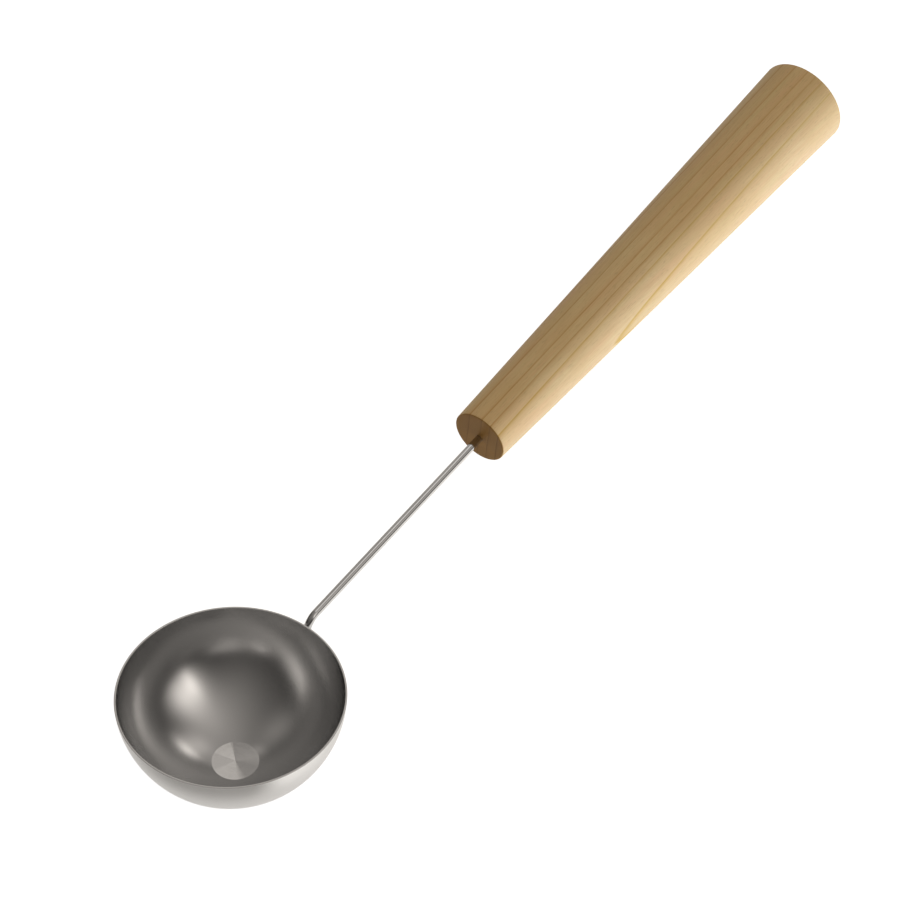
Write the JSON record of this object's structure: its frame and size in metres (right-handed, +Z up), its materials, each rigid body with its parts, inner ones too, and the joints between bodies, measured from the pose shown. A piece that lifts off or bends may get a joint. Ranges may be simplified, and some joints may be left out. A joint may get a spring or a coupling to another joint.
{
  "type": "sauna ladle",
  "caption": "Sauna ladle with a spun steel bowl, a bent steel wire stem welded to the bowl's outer wall and a conical turned wooden handle, for pouring water over hot stones.",
  "frame": {"origin": "centre of the bowl's flat base, on its underside", "axes": "+Z up along the bowl's axis, +X from the bowl towards the handle, Y across the bowl"},
  "size_m": [0.4424, 0.09, 0.0883],
  "materials": {
    "bowl_steel": "satin spun",
    "stem_steel": "polished drawn wire",
    "weld_steel": "as welded, brushed",
    "pale_wood": "sanded, thin matte oil",
    "amber_glue": "cured"
  },
  "bodies": {
    "root": {"bowl": "bowl_steel", "stem": "stem_steel", "weld_bead_left": "weld_steel", "weld_bead_right": "weld_steel", "handle": "pale_wood", "glue_film": "amber_glue"}
  },
  "joints": []
}
